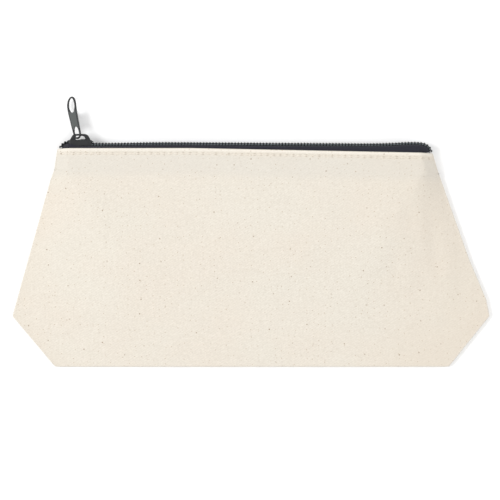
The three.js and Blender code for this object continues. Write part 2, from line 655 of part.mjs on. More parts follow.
place('front_panel', frontPanelGeometry(), canvas);
place('back_panel', backPanelGeometry(), canvas);
place('front_topstitch_thread',
  ribbon(topstitchLine(), THREAD, FRONT_TOP_Z + 0.05, THREAD_HEIGHT), cottonThread);
place('back_topstitch_thread', ribbon(topstitchLine(), THREAD, 0.05, THREAD_HEIGHT), cottonThread);
place('left_side_seam_thread', sideSeamThread(leftAt, 1), cottonThread);
place('right_side_seam_thread', sideSeamThread(rightAt, -1), cottonThread);
place('left_corner_seam_thread', cornerSeamThread(BASE_LEFT_X), cottonThread);
place('right_corner_seam_thread', cornerSeamThread(BASE_RIGHT_X), cottonThread);
place('base_seam_thread', baseSeamThread(), cottonThread);
for (const [side, name] of [[1, 'front'], [-1, 'back']]) {
  place(`${name}_zip_tape`, tapeGeometry(side), tapeCloth);
  place(`${name}_coil`, coilGeometry(side), nylon);
  place(`${name}_coil_cord`, cordGeometry(side), cordYarn);
  place(`${name}_coil_stitching`, coilStitchingGeometry(side), tapeThread);
}
place('slider_body', sliderGeometry(), blackEnamel);
const puller = place('puller', pullerGeometry(), blackEnamel);
puller.quaternion.copy(pullerTurn());
puller.position.copy(PIVOT);

export default pencilCase;
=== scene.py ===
"""A natural canvas pencil case lying on its back, zip closed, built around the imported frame.

Lengths in this script are millimetres until a mesh is finished; finished meshes, the floor and
the lights are in metres.
"""

import json
import math

import bmesh
import bpy
import numpy as np
from mathutils import Matrix, Vector


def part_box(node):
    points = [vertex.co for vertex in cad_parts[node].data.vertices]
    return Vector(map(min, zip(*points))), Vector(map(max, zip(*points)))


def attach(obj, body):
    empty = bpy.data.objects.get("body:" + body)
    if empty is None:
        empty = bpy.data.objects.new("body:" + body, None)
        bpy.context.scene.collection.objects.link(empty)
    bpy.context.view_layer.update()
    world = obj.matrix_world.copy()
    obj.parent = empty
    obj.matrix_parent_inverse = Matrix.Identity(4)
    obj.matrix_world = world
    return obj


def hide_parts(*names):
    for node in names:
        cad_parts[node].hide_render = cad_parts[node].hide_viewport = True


MM = 0.001
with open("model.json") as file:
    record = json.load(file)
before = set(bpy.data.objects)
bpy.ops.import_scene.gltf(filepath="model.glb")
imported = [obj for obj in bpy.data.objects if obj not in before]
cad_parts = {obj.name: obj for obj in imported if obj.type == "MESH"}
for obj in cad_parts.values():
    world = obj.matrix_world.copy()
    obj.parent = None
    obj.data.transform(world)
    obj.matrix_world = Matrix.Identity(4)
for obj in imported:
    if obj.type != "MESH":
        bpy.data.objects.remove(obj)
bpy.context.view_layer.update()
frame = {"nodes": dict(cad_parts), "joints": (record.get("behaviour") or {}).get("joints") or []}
nodes = frame["nodes"]


def box_mm(node):
    low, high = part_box(node)
    return np.array(low) / MM, np.array(high) / MM


# ------------------------------------------------------------------ sizes read from the frame

FRONT_LOW, FRONT_HIGH = box_mm("front_panel")
COIL_HIGH = box_mm("front_coil")[1]
COIL_LOW = box_mm("back_coil")[0]
TAPE_LOW = box_mm("front_zip_tape")[0]
TAPE_HIGH = box_mm("front_zip_tape")[1]
SEAM_Z = float(np.mean([corner[2] for corner in box_mm("base_seam_thread")]))
BASE_SEAM_Y = float(np.mean([corner[1] for corner in box_mm("base_seam_thread")]))

ZIP_Z = (COIL_HIGH[2] + COIL_LOW[2]) / 2
COIL_REACH = COIL_HIGH[2] - ZIP_Z
COIL_HEIGHT = 1.8
COIL_Y = COIL_HIGH[1] - COIL_HEIGHT / 2
BASE_Y = FRONT_LOW[1]
TOP_Z = FRONT_HIGH[2]

# ------------------------------------------------------------------ sizes of the cloth and thread

CLOTH = 0.5
FOLD = 0.6                 # outer radius of a folded edge: two plies and the air between them
EDGE_Z = 2.7               # outer face of the front panel at its folded edges
SEAM_ALLOWANCE = 6.5
HEM_DEPTH = 12.0
BASE_RAW_EDGE = 30.3       # how far the folded-in base and its allowance reach above the base
HEM_KINK_Y = 44.2
SHOULDER_AT_HEM = 7.2
SHOULDER_GROWTH = 1.0
BASE_SLOPE = 74.0
SAG = 0.8                  # how far the front sags between the zip and the base
WIDEST_ABOVE_BASE = 27.3
BACK_LIFT = 0.10           # rise of the back off the table, away from its edges
BACK_RIPPLE = 0.08

STITCH = 3.25              # topstitch pitch
STITCH_INSET = 2.7         # topstitch line below the hem's fold
THREAD_RADIUS = 0.21
FRONT_GROOVE = 0.26        # how deep the topstitching pulls a panel in along its line
BACK_GROOVE = 0.24
FRONT_NEEDLE_DEPTH = 0.28
BACK_NEEDLE_DEPTH = 0.20
NEEDLE_RADIUS = 0.42
HEM_ROLL = 0.16            # rise between the hem's fold and the topstitching
HEM_STEP = 0.22            # drop where the folded-in hem ends
HIDDEN_SEAM_HUMP = 0.1

COIL_PITCH = 1.59
WIRE_RADIUS = 0.33
CORD_RADIUS = 0.27
BINDING_RADIUS = 0.25
BINDING_GAP = 0.5          # share of each binding stitch's pitch left bare
COIL_OVERLAP = 0.12        # how far each half's heads reach past the chain's middle
PARTED_AT = -86.5          # the halves are apart left of this X, and mesh right of MESHED_AT
MESHED_AT = -81.5
END_SQUEEZE = 0.35         # how much narrower the chain is where it turns into the corners
END_SINK = 1.6             # how far it sinks towards the table there
COIL_PARTING = 0.86        # how much further out the heads are where the halves are parted
CHAIN_CREST = {"front": 0.14, "back": -0.16}    # rise of each half above the chain's centre line
TAPE_THICKNESS = 0.38
BARE_COIL = 5.5            # length of coil without binding stitches at the slider's end

HOLE_COLUMNS = (-1.3, -0.75, -0.32, 0.0, 0.32, 0.75, 1.3)   # grid columns round each needle hole
COLUMN_STEP = 0.5
HEM_ROWS = 30
HEM_ROW_STEP = 0.28
BODY_ROWS = 78
FOLD_STEPS = 6             # rings round a folded edge
FLAP_STEPS = 8             # rings from the fold to the raw edge


# ------------------------------------------------------------------ outline, from the back panel

def resting_face_corners():
    """Corners of the face the case rests on, anticlockwise from above, in mm."""
    bm = bmesh.new()
    bm.from_mesh(nodes["back_panel"].data)
    bmesh.ops.remove_doubles(bm, verts=bm.verts, dist=1e-6)
    flat = {f for f in bm.faces if f.normal.z < -0.99 and max(v.co.z for v in f.verts) < 1e-6}
    rim = [e for e in bm.edges if sum(f in flat for f in e.link_faces) == 1]
    links = {}
    for edge in rim:
        start, end = edge.verts
        links.setdefault(start, []).append(end)
        links.setdefault(end, []).append(start)
    loops = []
    left = set(links)
    while left:
        start = left.pop()
        loop, here = [start], start
        while True:
            step = [v for v in links[here] if v in left]
            if not step:
                break
            here = step[0]
            left.discard(here)
            loop.append(here)
        loops.append(np.array([[v.co.x / MM, v.co.y / MM] for v in loop]))
    bm.free()
    outer = max(loops, key=lambda pts: np.ptp(pts[:, 0]) * np.ptp(pts[:, 1]))
    x, y = outer.T
    area = 0.5 * np.sum(x * np.roll(y, -1) - np.roll(x, -1) * y)
    return outer if area > 0 else outer[::-1]


SAME_PLACE = 0.01
SIDES_BEYOND = 80.0        # the corners of the sides lie further out than this
HEM_SLANT = 0.2            # weight of X against Y when looking for the hem's two ends

corners = resting_face_corners()
base_row = corners[corners[:, 1] < BASE_Y + SAME_PLACE]
BASE_LEFT = base_row[base_row[:, 0].argmin()]
BASE_RIGHT = base_row[base_row[:, 0].argmax()]
HEM_LEFT = corners[(corners[:, 1] - HEM_SLANT * corners[:, 0]).argmax()]
HEM_RIGHT = corners[(corners[:, 1] + HEM_SLANT * corners[:, 0]).argmax()]
left_side = corners[(corners[:, 0] < -SIDES_BEYOND) & (corners[:, 1] <= HEM_LEFT[1] + SAME_PLACE)]
left_side = left_side[left_side[:, 1].argsort()]
right_side = corners[(corners[:, 0] > SIDES_BEYOND) & (corners[:, 1] <= HEM_RIGHT[1] + SAME_PLACE)]
right_side = right_side[right_side[:, 1].argsort()]
hem_line = corners[corners[:, 1] >= HEM_RIGHT[1] - SAME_PLACE]
hem_line = hem_line[hem_line[:, 0].argsort()]
STITCH_START = HEM_LEFT[0] + 2.4
STITCH_END = HEM_RIGHT[0] - 1.6


def left_at(y):
    return np.interp(y, left_side[:, 1], left_side[:, 0])


def right_at(y):
    return np.interp(y, right_side[:, 1], right_side[:, 0])


def hem_at(x):
    return np.interp(x, hem_line[:, 0], hem_line[:, 1])


# ------------------------------------------------------------------ small maths

def smooth(low, high, value):
    share = np.clip((value - low) / (high - low), 0, 1)
    return share * share * (3 - 2 * share)


def eased(share):
    """Rises almost evenly from 0 to 1, levelling out at the top."""
    share = np.clip(share, 0, 1)
    return share * (1.4 - 0.4 * share * share)


def bell(distance, width):
    return np.exp(-(distance / width) ** 2)


def ripples(x, y, waves):
    """A sum of plane waves: (height, wavelength, direction in degrees, phase)."""
    total = np.zeros_like(x)
    for height, length, direction, phase in waves:
        turn = math.radians(direction)
        along = x * math.cos(turn) + y * math.sin(turn)
        total += height * np.sin(2 * math.pi * along / length + phase)
    return total


SOFT_WAVES = [
    (0.22, 83, 20, 0.4), (0.16, 61, 105, 1.9), (0.13, 47, 64, 3.1), (0.10, 36, 150, 5.0),
    (0.06, 23, 35, 2.2), (0.05, 17, 120, 0.9), (0.025, 9.5, 80, 4.1), (0.02, 7.3, 10, 1.2),
]
CORNER_WAVES = [(0.30, 19, -12, 0.3), (0.16, 11, 8, 2.0)]
PUCKER_WAVES = [(0.16, 7.1, 90, 0.5), (0.10, 4.3, 90, 1.7)]


# ------------------------------------------------------------------ the front panel's surface

def hole_positions():
    count = int((STITCH_END - STITCH_START) / STITCH)
    return STITCH_START + STITCH * np.arange(count + 1)


def shoulder_at(y):
    return SHOULDER_AT_HEM + SHOULDER_GROWTH * np.maximum(HEM_KINK_Y - y, 0)


def front_z(x, y):
    """Height of the front panel's outer face."""
    from_left = x - left_at(y)
    from_right = right_at(y) - x
    from_side = np.minimum(from_left, from_right)
    from_base = y - BASE_Y
    from_hem = hem_at(x) - y
    share = eased(from_side / shoulder_at(y)) * eased(from_base / BASE_SLOPE)
    z = EDGE_Z + (TOP_Z - EDGE_Z) * share
    open_cloth = smooth(4, 30, from_hem) * smooth(6, 40, from_base) * smooth(3, 30, from_side)
    z = z - SAG * open_cloth
    z = z + ripples(x, y, SOFT_WAVES) * (0.25 + 0.75 * open_cloth) * smooth(0, 9, from_side)
    corner = bell(from_right - 22, 17) * bell(y - 4, 34)
    z = z + ripples(x, y, CORNER_WAVES) * corner
    z = z + ripples(x, y, PUCKER_WAVES) * bell(from_side - 2.2, 2.6) * smooth(-0.2, 0.9, from_side)
    near_seam = smooth(0.4, 1.6, from_side)
    z = z - FRONT_GROOVE * bell(from_hem - STITCH_INSET, 0.75) * near_seam
    z = z + HEM_ROLL * bell(from_hem - 1.2, 0.8) * near_seam
    z = z - HEM_STEP * smooth(HEM_DEPTH - 1.2, HEM_DEPTH + 1.6, from_hem) * near_seam
    return z


def needle_marks(x, y, positions):
    """How close each point is to a needle hole; every second hole is pulled tighter."""
    from_line = hem_at(x) - STITCH_INSET - y
    nearest = np.rint((x - positions[0]) / STITCH).astype(int)
    nearest = np.clip(nearest, 0, len(positions) - 1)
    strength = 0.45 + 0.4 * (nearest % 2 == 0) + 0.15 * np.sin(nearest * 2.7)
    gap = np.hypot(x - positions[nearest], from_line)
    return strength * bell(gap, NEEDLE_RADIUS)


# ------------------------------------------------------------------ mesh helpers

def finished_object(name, vertices, faces, material, node):
    """Makes the final object, in metres, rides it on the pouch and replaces its CAD node."""
    mesh = bpy.data.meshes.new(name)
    mesh.from_pydata((np.asarray(vertices, float) * MM).tolist(), [], faces)
    mesh.validate()
    mesh.polygons.foreach_set("use_smooth", [True] * len(mesh.polygons))
    mesh.materials.append(material)
    piece = bpy.data.objects.new(name, mesh)
    bpy.context.scene.collection.objects.link(piece)
    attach(piece, "pouch")
    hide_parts(node)
    return piece


def grid_faces(rows, columns, closed_columns=False):
    faces = []
    last = columns if closed_columns else columns - 1
    for row in range(rows - 1):
        for column in range(last):
            after = (column + 1) % columns
            a = row * columns + column
            b = row * columns + after
            faces.append((a, b, b + columns, a + columns))
    return faces


def add_point_values(piece, name, values):
    layer = piece.data.attributes.new(name, "FLOAT", "POINT")
    layer.data.foreach_set("value", np.asarray(values, np.float32))


def thicken(piece, thickness):
    """Gives a sheet real cloth thickness, on its inner side, and applies it."""
    solid = piece.modifiers.new("cloth_thickness", "SOLIDIFY")
    solid.thickness = thickness * MM
    solid.offset = -1.0
    solid.use_even_offset = False
    apply_modifiers(piece)


def apply_modifiers(piece):
    graph = bpy.context.evaluated_depsgraph_get()
    mesh = bpy.data.meshes.new_from_object(piece.evaluated_get(graph))
    piece.modifiers.clear()
    old = piece.data
    piece.data = mesh
    mesh.name = piece.name
    bpy.data.meshes.remove(old)


def tube(path, radius, sides, reference, twist_plies=0, twist_length=1.0):
    """A round or twisted strand along a path. reference is never parallel to the path."""
    path = np.asarray(path, float)
    tangent = np.gradient(path, axis=0)
    tangent /= np.linalg.norm(tangent, axis=1)[:, None]
    reference = np.broadcast_to(np.asarray(reference, float), path.shape)
    first = reference - np.sum(reference * tangent, axis=1)[:, None] * tangent
    first /= np.linalg.norm(first, axis=1)[:, None]
    second = np.cross(tangent, first)
    steps = np.linalg.norm(np.diff(path, axis=0), axis=1)
    distance = np.concatenate([[0], np.cumsum(steps)])
    angle = np.arange(sides) * 2 * math.pi / sides
    rings = []
    for i, point in enumerate(path):
        bulge = 1.0
        if twist_plies:
            lay = 2 * math.pi * distance[i] / twist_length
            bulge = 0.88 + 0.16 * np.abs(np.cos((angle * twist_plies - lay) / 2))
        ring = radius * bulge
        offset = (np.cos(angle) * ring)[:, None] * first[i] + (np.sin(angle) * ring)[:, None] * second[i]
        rings.append(point + offset)
    vertices = np.concatenate(rings)
    faces = grid_faces(len(path), sides, closed_columns=True)
    last = (len(path) - 1) * sides
    faces.append(tuple(range(sides))[::-1])
    faces.append(tuple(range(last, last + sides)))
    return vertices, faces


def gather(parts):
    """Joins (vertices, faces) parts into one."""
    vertices, faces, start = [], [], 0
    for points, polygons in parts:
        vertices.append(points)
        faces.extend(tuple(start + i for i in polygon) for polygon in polygons)
        start += len(points)
    return np.concatenate(vertices), faces


# ------------------------------------------------------------------ materials

class Look:
    """A node material, built one node at a time."""

    def __init__(self, name):
        self.material = bpy.data.materials.new(name)
        self.material.use_nodes = True
        self.tree = self.material.node_tree
        self.surface = self.tree.nodes["Principled BSDF"]
        self.place = self.add("ShaderNodeTexCoord").outputs["Object"]

    def add(self, kind, inputs=None, **settings):
        made = self.tree.nodes.new(kind)
        for key, value in settings.items():
            setattr(made, key, value)
        for key, value in (inputs or {}).items():
            if isinstance(value, bpy.types.NodeSocket):
                self.tree.links.new(value, made.inputs[key])
            else:
                made.inputs[key].default_value = value
        return made

    def maths(self, operation, a, b=0.0, c=0.0):
        return self.add("ShaderNodeMath", {0: a, 1: b, 2: c}, operation=operation).outputs[0]

    def stretched(self, scale):
        """Object coordinates, multiplied per axis (1 / metres)."""
        return self.add("ShaderNodeVectorMath", {0: self.place, 1: scale},
                        operation="MULTIPLY").outputs[0]

    def noise(self, scale, detail=3.0, rough=0.5):
        return self.add("ShaderNodeTexNoise", {
            "Vector": self.stretched(scale), "Scale": 1.0, "Detail": detail, "Roughness": rough,
        }).outputs["Fac"]

    def range(self, value, low, high, to_low=0.0, to_high=1.0):
        return self.add("ShaderNodeMapRange", {
            0: value, 1: low, 2: high, 3: to_low, 4: to_high,
        }).outputs[0]

    def mix(self, share, a, b, blend="MIX"):
        made = self.add("ShaderNodeMix", data_type="RGBA", blend_type=blend)
        for index, value in ((0, share), (6, a), (7, b)):
            if isinstance(value, bpy.types.NodeSocket):
                self.tree.links.new(value, made.inputs[index])
            else:
                made.inputs[index].default_value = value
        return made.outputs[2]

    def value_of(self, attribute):
        return self.add("ShaderNodeAttribute", attribute_name=attribute).outputs["Fac"]

    def bump(self, height, depth_mm, strength=1.0, under=None):
        inputs = {"Height": height, "Distance": depth_mm * MM, "Strength": strength}
        if under is not None:
            inputs["Normal"] = under
        return self.add("ShaderNodeBump", inputs).outputs["Normal"]

    def finish(self, **inputs):
        for key, value in inputs.items():
            socket = self.surface.inputs[key.replace("_", " ")]
            if isinstance(value, bpy.types.NodeSocket):
                self.tree.links.new(value, socket)
            else:
                socket.default_value = value
        return self.material


def grey(value):
    return (value, value, value, 1.0)


def per_mm(x, y, z):
    """Texture scale that makes one unit of a texture as long as these millimetres."""
    return (1 / (x * MM), 1 / (y * MM), 1 / (z * MM))


YARN = 0.56                # width of one woven yarn
SHADED_YARN = (0.50, 0.455, 0.39, 1)
RIB_RUN = (0.535, -0.812)  # twill ribs across each mm in X and Y: about 1 mm apart, rising right


def canvas_material():
    look = Look("natural_canvas")
    split = look.add("ShaderNodeSeparateXYZ", {0: look.place})
    turn = 2 * math.pi / (YARN * MM)
    warp = look.maths("SINE", look.maths("MULTIPLY", split.outputs["X"], turn))
    weft = look.maths("SINE", look.maths("MULTIPLY", split.outputs["Y"], turn))
    weave = look.maths("MULTIPLY_ADD", look.maths("MULTIPLY", warp, weft), 0.5, 0.5)
    rib_phase = look.maths("MULTIPLY_ADD", split.outputs["X"], 2 * math.pi * RIB_RUN[0] / MM,
                           look.maths("MULTIPLY", split.outputs["Y"], 2 * math.pi * RIB_RUN[1] / MM))
    rib = look.maths("MULTIPLY_ADD", look.maths("SINE", rib_phase), 0.5, 0.5)
    slub_up = look.noise(per_mm(0.7, 7.0, 7.0), 2.0)
    slub_across = look.noise(per_mm(7.0, 0.7, 7.0), 2.0)
    slub = look.maths("ADD", slub_up, slub_across)
    fuzz = look.noise(per_mm(0.35, 0.35, 0.35), 2.0, 0.6)
    yarns = look.noise(per_mm(0.95, 0.75, 0.9), 1.0, 0.5)

    colour = look.mix(look.range(look.noise(per_mm(38, 26, 30), 3.0), 0.35, 0.65),
                      (0.682, 0.626, 0.546, 1), (0.677, 0.640, 0.564, 1))
    colour = look.mix(look.range(slub, 0.75, 1.25, 0.0, 0.30), colour, (0.72, 0.68, 0.615, 1))
    colour = look.mix(look.range(fuzz, 0.35, 0.75, 0.0, 0.16), colour, (0.49, 0.43, 0.36, 1))
    colour = look.mix(look.range(yarns, 0.25, 0.75, 0.0, 0.46), colour, SHADED_YARN)
    colour = look.mix(look.maths("MULTIPLY", rib, 0.16), colour, SHADED_YARN)
    # painted shade: yellower and darker where the cloth turns away from the light
    colour = look.mix(look.maths("MULTIPLY", look.value_of("turned_away_shade"), 0.5),
                      colour, (0.58, 0.505, 0.415, 1))
    colour = look.mix(look.maths("MULTIPLY", look.value_of("under_tape"), 0.34),
                      colour, (0.555, 0.535, 0.49, 1))
    # painted highlight: the crest of the hem's fold is painted paler
    colour = look.mix(look.maths("MULTIPLY", look.value_of("crest"), 0.5),
                      colour, (0.80, 0.755, 0.69, 1))
    colour = look.mix(seed_specks(look, 3.1, 0.070, 0.75), colour, (0.37, 0.28, 0.19, 1))
    colour = look.mix(seed_specks(look, 9.4, 0.034, 0.55), colour, (0.24, 0.165, 0.10, 1))
    # painted shade: the needle holes are painted dark brown where the thread sinks into the cloth
    colour = look.mix(look.value_of("needle"), colour, (0.24, 0.165, 0.105, 1))

    height = look.maths("MULTIPLY_ADD", slub, 0.8, look.maths("MULTIPLY", fuzz, 0.5))
    normal = look.bump(height, 0.10, 0.6)
    normal = look.bump(weave, 0.10, 0.6, under=normal)
    normal = look.bump(rib, 0.03, 0.8, under=normal)
    return look.finish(
        Base_Color=colour, Normal=normal, Roughness=look.range(fuzz, 0.3, 0.8, 0.86, 0.97),
        Sheen_Weight=0.12, Sheen_Roughness=0.6, Specular_IOR_Level=0.15,
    )


def seed_specks(look, spacing, size, share):
    """Small flecks of cotton seed: one per cell in a share of the cells, ragged at the edge."""
    wobble = look.add("ShaderNodeTexNoise", {
        "Vector": look.stretched(per_mm(0.4, 0.4, 0.4)), "Scale": 1.0, "Detail": 1.0,
    }).outputs["Color"]
    ragged = look.add("ShaderNodeVectorMath", {0: wobble, "Scale": 0.3 / spacing},
                      operation="SCALE").outputs[0]
    place = look.add("ShaderNodeVectorMath", {0: look.stretched(per_mm(spacing, spacing, spacing)),
                                              1: ragged}, operation="ADD").outputs[0]
    cells = look.add("ShaderNodeTexVoronoi", voronoi_dimensions="2D")
    look.tree.links.new(place, cells.inputs["Vector"])
    cells.inputs["Scale"].default_value = 1.0
    chance = look.add("ShaderNodeSeparateColor", {0: cells.outputs["Color"]}).outputs[0]
    near = look.range(cells.outputs["Distance"], size * 0.5, size * 1.3, 1.0, 0.0)
    kept = look.range(chance, 0.0, share, 1.0, 0.0)
    return look.maths("MULTIPLY", near, kept)


def thread_material(name, colour, shade):
    look = Look(name)
    fibre = look.noise(per_mm(0.25, 0.25, 0.25), 2.0, 0.6)
    tone = look.mix(look.range(fibre, 0.35, 0.7), colour, shade)
    return look.finish(Base_Color=tone, Normal=look.bump(fibre, 0.05, 0.5), Roughness=0.8,
                       Sheen_Weight=0.2, Specular_IOR_Level=0.2)


def tape_material():
    look = Look("woven_tape")
    split = look.add("ShaderNodeSeparateXYZ", {0: look.place})
    turn = 2 * math.pi / (0.62 * MM)
    ribs = look.maths("SINE", look.maths("MULTIPLY", split.outputs["X"], turn))
    lines = look.maths("SINE", look.maths("MULTIPLY", split.outputs["Y"], turn * 1.4))
    weave = look.maths("MULTIPLY_ADD", look.maths("MULTIPLY", ribs, lines), 0.5, 0.5)
    fuzz = look.noise(per_mm(0.5, 0.5, 0.5), 3.0, 0.6)
    tone = look.mix(look.range(fuzz, 0.3, 0.7), (0.010, 0.010, 0.016, 1), (0.017, 0.017, 0.026, 1))
    tone = look.mix(look.maths("MULTIPLY", weave, 0.35), tone, (0.029, 0.030, 0.042, 1))
    return look.finish(Base_Color=tone, Normal=look.bump(weave, 0.12, 0.8), Roughness=0.8,
                       Sheen_Weight=0.05, Sheen_Roughness=0.5, Specular_IOR_Level=0.25)


def nylon_material():
    look = Look("black_nylon")
    streak = look.noise(per_mm(0.4, 1.2, 0.4), 2.0)
    tone = look.mix(look.range(streak, 0.3, 0.7), (0.007, 0.009, 0.011, 1), (0.012, 0.015, 0.018, 1))
    return look.finish(Base_Color=tone, Normal=look.bump(streak, 0.03, 0.4),
                       Roughness=look.range(streak, 0.3, 0.7, 0.34, 0.5), Specular_IOR_Level=0.35)


def enamel_material():
    look = Look("black_enamel")
    cloud = look.noise(per_mm(2.5, 2.5, 2.5), 3.0, 0.6)
    grain = look.noise(per_mm(0.12, 0.12, 0.12), 2.0, 0.6)
    tone = look.mix(look.range(cloud, 0.35, 0.65), (0.006, 0.007, 0.008, 1), (0.011, 0.012, 0.013, 1))
    # painted light: the recessed web between the tab's rims is painted lighter grey, standing in for the
    # rounded glossy rims reflecting less light than the flat web
    tone = look.mix(look.value_of("recess"), tone, (0.062, 0.069, 0.066, 1))
    edge = look.add("ShaderNodeNewGeometry").outputs["Pointiness"]
    worn = look.maths("MULTIPLY", look.range(edge, 0.53, 0.60), look.range(grain, 0.45, 0.6))
    tone = look.mix(look.maths("MULTIPLY", worn, 0.35), tone, (0.10, 0.10, 0.105, 1))
    return look.finish(Base_Color=tone, Normal=look.bump(grain, 0.02, 0.35),
                       Roughness=look.range(grain, 0.3, 0.7, 0.34, 0.48), Specular_IOR_Level=0.4)


CANVAS = canvas_material()
COTTON = thread_material("cream_thread", (0.74, 0.69, 0.61, 1), (0.66, 0.61, 0.53, 1))
TAPE = tape_material()
NYLON = nylon_material()
BINDING = thread_material("grey_binding_thread", (0.13, 0.155, 0.165, 1), (0.07, 0.083, 0.095, 1))
CORD = thread_material("black_cord", (0.02, 0.02, 0.024, 1), (0.01, 0.01, 0.012, 1))
ENAMEL = enamel_material()


# ------------------------------------------------------------------ canvas panels

def panel_shares():
    """Row positions from the base fold (0) to the hem fold (1), closest together at the hem."""
    height = HEM_LEFT[1] - BASE_Y
    near_hem = 1 - np.arange(HEM_ROWS) * HEM_ROW_STEP / height
    body = np.linspace(0, near_hem[-1], BODY_ROWS, endpoint=False)
    base = BASE_Y + FOLD
    turns = [(y - base) / (top[1] - FOLD - base) for top in (HEM_LEFT, HEM_RIGHT)
             for y in np.concatenate([left_side[1:-1, 1], right_side[1:-1, 1]])]
    turns = [share for share in turns if share < near_hem[-1] - 0.004]
    return np.sort(np.concatenate([body, turns, near_hem]))


def panel_columns():
    """Column positions across the panel (0 to 1), gathered round each needle hole."""
    left = left_at(HEM_LEFT[1] - STITCH_INSET) + FOLD
    right = right_at(HEM_RIGHT[1] - STITCH_INSET) - FOLD
    at_holes = (hole_positions()[:, None] + HOLE_COLUMNS).ravel()
    before = np.arange(left, at_holes[0] - COLUMN_STEP / 2, COLUMN_STEP)
    after = np.arange(right, at_holes[-1] + COLUMN_STEP / 2, -COLUMN_STEP)[::-1]
    x = np.concatenate([before, at_holes, after])
    return (x - left) / (right - left)


def panel_grid():
    """X and Y of the outer face's grid, kept one fold's radius inside the outline."""
    across = panel_columns()
    up = panel_shares()[:, None]
    top = HEM_LEFT[0] + across * (HEM_RIGHT[0] - HEM_LEFT[0])
    hem = hem_at(top) - FOLD
    base = BASE_Y + FOLD
    left_y = base + up * (HEM_LEFT[1] - FOLD - base)
    right_y = base + up * (HEM_RIGHT[1] - FOLD - base)
    left = left_at(left_y) + FOLD
    right = right_at(right_y) - FOLD
    return left + across * (right - left), base + up * (hem - base)


def rim_indices(rows, columns):
    """Grid indices round the edge, anticlockwise."""
    bottom = list(range(columns - 1))
    right = [row * columns + columns - 1 for row in range(rows - 1)]
    top = [(rows - 1) * columns + column for column in range(columns - 1, 0, -1)]
    left = [row * columns for row in range(rows - 1, 0, -1)]
    return np.array(bottom + right + top + left)


def folded_panel(name, x, y, z, inwards, node, values):
    """A cloth panel whose edges turn under: outer face, round folds, and plies folded in.

    inwards is -1 when the inside is below the outer face, and 1 when it is above.
    """
    rows, columns = x.shape
    face = np.stack([x.ravel(), y.ravel(), z.ravel()], axis=1)
    rim = rim_indices(rows, columns)
    edge = face[rim]
    before, after = np.roll(edge, 3, axis=0), np.roll(edge, -3, axis=0)
    run = (after - before)[:, :2]
    run /= np.linalg.norm(run, axis=1)[:, None]
    outwards = np.stack([run[:, 1], -run[:, 0]], axis=1)
    rings = []
    for step in range(1, FOLD_STEPS + 1):
        angle = math.pi * step / FOLD_STEPS
        ring = edge.copy()
        ring[:, :2] += outwards * FOLD * math.sin(angle)
        ring[:, 2] += inwards * FOLD * (1 - math.cos(angle))
        rings.append(ring)
    raw_y = np.clip(edge[:, 1], BASE_Y + BASE_RAW_EDGE, hem_at(edge[:, 0]) - HEM_DEPTH)
    raw_x = np.clip(edge[:, 0], left_at(raw_y) + SEAM_ALLOWANCE, right_at(raw_y) - SEAM_ALLOWANCE)
    for step in range(1, FLAP_STEPS + 1):
        share = step / FLAP_STEPS
        ring = rings[FOLD_STEPS - 1].copy()
        ring[:, 0] += (raw_x - edge[:, 0]) * share
        ring[:, 1] += (raw_y - edge[:, 1]) * share
        rings.append(ring)
    vertices = np.concatenate([face] + rings)
    faces = grid_faces(rows, columns)
    count = len(rim)
    previous = rim
    for number in range(len(rings)):
        current = len(face) + number * count + np.arange(count)
        for i in range(count):
            j = (i + 1) % count
            faces.append((int(previous[j]), int(previous[i]), int(current[i]), int(current[j])))
        previous = current
    if inwards > 0:
        faces = [polygon[::-1] for polygon in faces]
    piece = finished_object(name, vertices, faces, CANVAS, node)
    padding = len(vertices) - len(face)
    for key, numbers in values.items():
        add_point_values(piece, key, np.concatenate([numbers.ravel(), np.zeros(padding)]))
    thicken(piece, CLOTH)


def front_canvas():
    x, y = panel_grid()
    z = front_z(x, y)
    holes = needle_marks(x, y, hole_positions())
    z = z - FRONT_NEEDLE_DEPTH * holes
    from_hem = hem_at(x) - y
    values = {
        # this share both sinks the cloth and paints shade into the needle holes
        "needle": holes,
        "under_tape": smooth(2.2, 4.5, from_hem) * (1 - smooth(10.5, 16.5, from_hem)),
        # where the painted highlight along the fold's crest goes
        "crest": bell(from_hem - FOLD, 0.8),
        "turned_away_shade": turned_away_shade(x, y),
    }
    folded_panel("front_canvas", x, y, z, -1, "front_panel", values)


def turned_away_shade(x, y):
    """Painted shade: the cloth is painted a little yellower and darker where it turns away from the
    light, most of all at the right.
    """
    from_right = right_at(y) - x
    from_left = x - left_at(y)
    lower_right = smooth(-10, 60, x - 40) * smooth(20, -60, y)
    return np.clip(0.55 * bell(from_right, 34) + 0.3 * lower_right + 0.25 * bell(from_left, 9), 0, 1)


def back_canvas():
    x, y = panel_grid()
    from_side = np.minimum(x - left_at(y), right_at(y) - x)
    from_rim = np.minimum(from_side, np.minimum(y - BASE_Y, hem_at(x) - y))
    lift = BACK_LIFT + BACK_RIPPLE * ripples(x, y, SOFT_WAVES[1:5]) / 0.4
    z = lift * smooth(0, 12, from_rim)
    holes = needle_marks(x, y, hole_positions())
    groove = bell(hem_at(x) - y - STITCH_INSET, 0.8) * smooth(0.4, 1.6, from_side)
    z = z + BACK_GROOVE * groove + BACK_NEEDLE_DEPTH * holes
    values = {"needle": holes, "crest": bell(hem_at(x) - y - FOLD, 0.8),
              # an even touch of painted shade over the whole back
              "under_tape": np.zeros_like(x), "turned_away_shade": 0.2 * np.ones_like(x)}
    folded_panel("back_canvas", x, y, z, 1, "back_panel", values)


# ------------------------------------------------------------------ stitching

def resampled(path, spacing):
    path = np.asarray(path, float)
    steps = np.linalg.norm(np.diff(path, axis=0), axis=1)
    distance = np.concatenate([[0], np.cumsum(steps)])
    at = np.linspace(0, distance[-1], max(2, int(distance[-1] / spacing) + 1))
    return np.stack([np.interp(at, distance, column) for column in path.T], axis=1)


